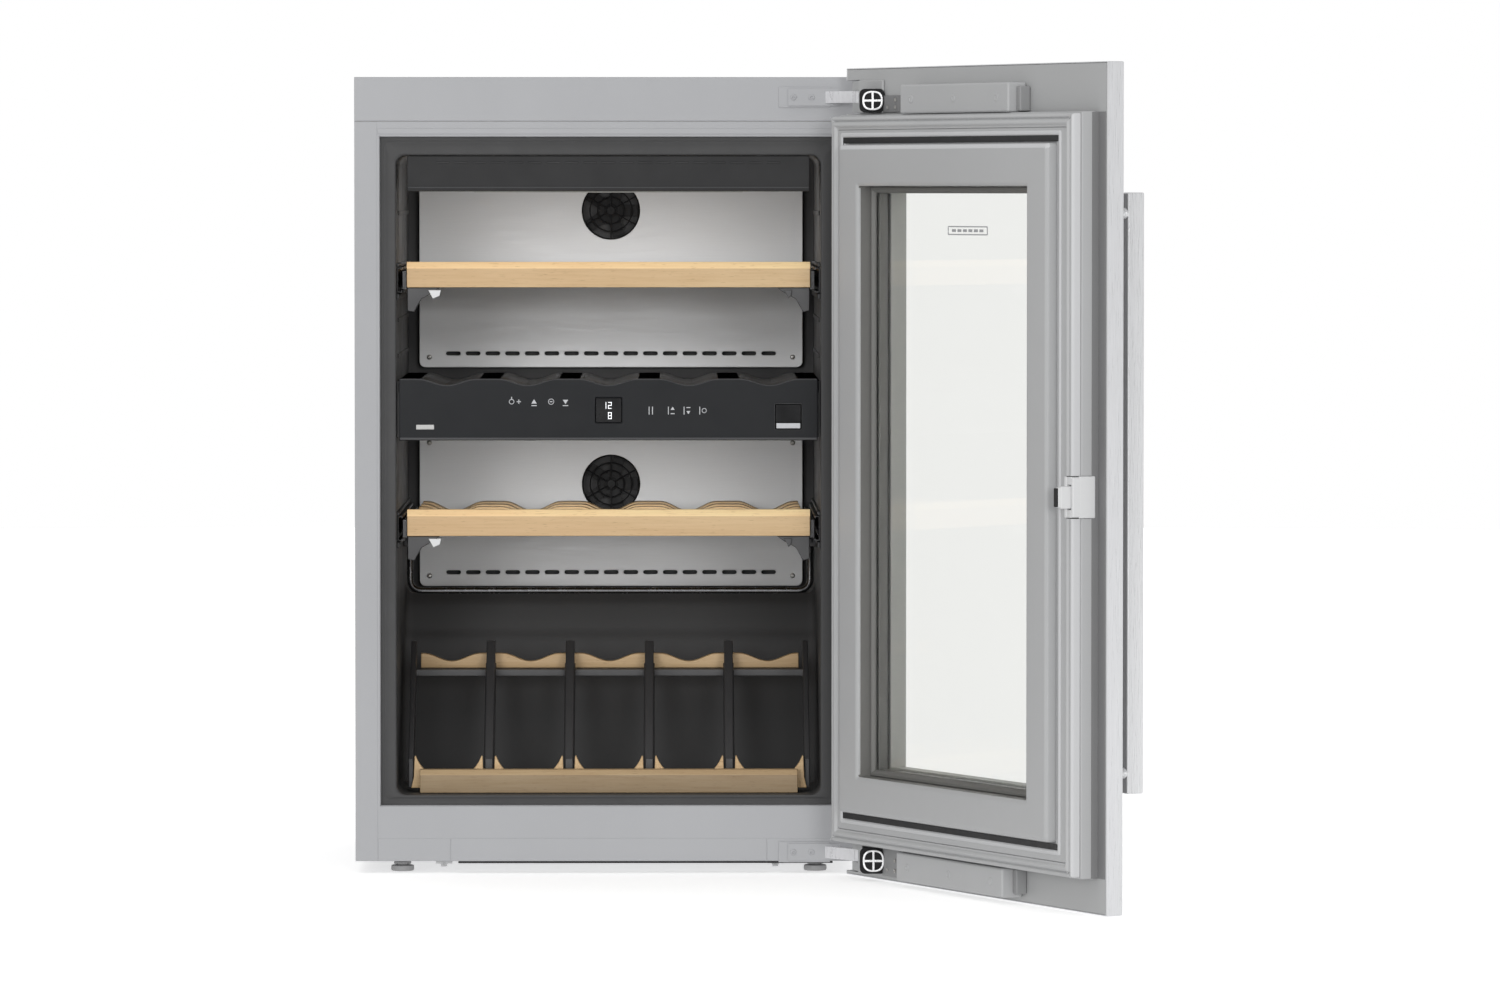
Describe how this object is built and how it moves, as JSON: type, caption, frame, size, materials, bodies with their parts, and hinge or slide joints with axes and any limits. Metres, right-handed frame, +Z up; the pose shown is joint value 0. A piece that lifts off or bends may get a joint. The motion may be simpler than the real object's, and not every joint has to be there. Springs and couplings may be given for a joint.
{
  "type": "wine cooler",
  "caption": "Built-in two-zone wine cooler with a glazed steel door on a side hinge, pull-out beech shelves and a sloping bottle rack.",
  "frame": {"origin": "middle of the base plate's underside, with the cabinet upright", "axes": "+Z up, -Y out of the cabinet's front opening, +X towards the hinge side"},
  "size_m": [0.8497, 1.0634, 0.896],
  "materials": {
    "grey_paint": "satin",
    "insulation_foam": "matte",
    "dark_liner": "matte",
    "control_plastic": "satin",
    "cover_aluminium": "satin",
    "light_lens": "gloss",
    "display_glass": "gloss",
    "rail_zinc": "satin",
    "beech_wood": "satin",
    "rail_chrome": "polished",
    "machine_black": "satin",
    "black_plastic": "matte",
    "foot_rubber": "matte",
    "door_steel": "satin",
    "door_grey_plastic": "satin",
    "window_glass": "gloss",
    "seal_rubber": "matte",
    "light_plastic": "satin",
    "door_backing": "satin",
    "rail_dark": "satin"
  },
  "bodies": {
    "cabinet": {"left_side_panel": "grey_paint", "right_side_panel": "grey_paint", "top_plate": "grey_paint", "base_plate": "grey_paint", "back_panel": "grey_paint", "front_frame": "grey_paint", "top_fascia": "grey_paint", "liner": "dark_liner", "insulation": "insulation_foam", "top_cover": "control_plastic", "light_strip": "light_lens", "upper_back_cover": "cover_aluminium", "lower_back_cover": "cover_aluminium", "divider": "dark_liner", "control_panel": "control_plastic", "display": "display_glass", "upper_shelf_rail_left": "rail_dark", "upper_shelf_rail_right": "rail_dark", "lower_shelf_rail_left": "rail_dark", "lower_shelf_rail_right": "rail_dark", "rack_front_bar": "beech_wood", "rack_cradle": "beech_wood", "rack_frame": "dark_liner", "rack_rear_bar": "beech_wood", "neck_rail": "rail_chrome", "compressor": "machine_black", "condenser": "machine_black", "mains_inlet": "black_plastic", "front_left_foot": "foot_rubber", "front_right_foot": "foot_rubber", "rear_left_foot": "foot_rubber", "rear_right_foot": "foot_rubber", "top_hinge_arm": "rail_zinc", "bottom_hinge_arm": "rail_zinc"},
    "door": {"door_panel": "door_steel", "door_core": "door_backing", "door_frame": "door_grey_plastic", "outer_glass": "window_glass", "inner_glass": "window_glass", "glass_spacer": "black_plastic", "door_inner_panel": "door_grey_plastic", "door_gasket": "seal_rubber", "top_panel_bracket": "door_backing", "bottom_panel_bracket": "door_backing", "top_hinge_leaf": "rail_zinc", "bottom_hinge_leaf": "rail_zinc", "plunger_guide": "light_plastic"},
    "handle": {"handle": "door_steel"},
    "plunger": {"plunger": "light_plastic"},
    "upper_shelf": {"upper_shelf_front_bar": "beech_wood", "upper_shelf_deck": "beech_wood", "upper_shelf_slide_left": "rail_dark", "upper_shelf_slide_right": "rail_dark"},
    "lower_shelf": {"lower_shelf_front_bar": "beech_wood", "lower_shelf_deck": "beech_wood", "lower_shelf_slide_left": "rail_dark", "lower_shelf_slide_right": "rail_dark"},
    "power_button": {"power_button": "control_plastic"},
    "upper_fan": {"upper_fan": "black_plastic"},
    "lower_fan": {"lower_fan": "black_plastic"}
  },
  "joints": [
    {"name": "door_hinge", "type": "hinge", "parent": "cabinet", "child": "door", "pos_m": [0.2794, -0.2901, 0.43], "axis": [0, 0, 1], "range_deg": [-116, 0]},
    {"name": "plunger_slide", "type": "slide", "parent": "door", "child": "plunger", "axis": [-0.8988, -0.4384, 0], "range_m": [-0.0156, 0]},
    {"name": "handle_pull", "type": "slide", "parent": "door", "child": "handle", "axis": [0.8988, 0.4384, 0], "range_m": [0, 0.006], "stiffness_N_per_m": 2500},
    {"name": "upper_shelf_slide", "type": "slide", "parent": "cabinet", "child": "upper_shelf", "axis": [0, -1, 0], "range_m": [0, 0.25]},
    {"name": "lower_shelf_slide", "type": "slide", "parent": "cabinet", "child": "lower_shelf", "axis": [0, -1, 0], "range_m": [0, 0.25]},
    {"name": "power_button_press", "type": "slide", "parent": "cabinet", "child": "power_button", "axis": [0, 1, 0], "range_m": [0, 0.0015], "stiffness_N_per_m": 800},
    {"name": "upper_fan_spin", "type": "hinge", "parent": "cabinet", "child": "upper_fan", "pos_m": [0, 0.1943, 0.7245], "axis": [0, -1, 0], "continuous": true},
    {"name": "lower_fan_spin", "type": "hinge", "parent": "cabinet", "child": "lower_fan", "pos_m": [0, 0.1943, 0.4055], "axis": [0, -1, 0], "continuous": true}
  ],
  "couplings": [
    {"joint": "plunger_slide", "follows": "door_hinge", "m_per_rad": 0.007704}
  ]
}
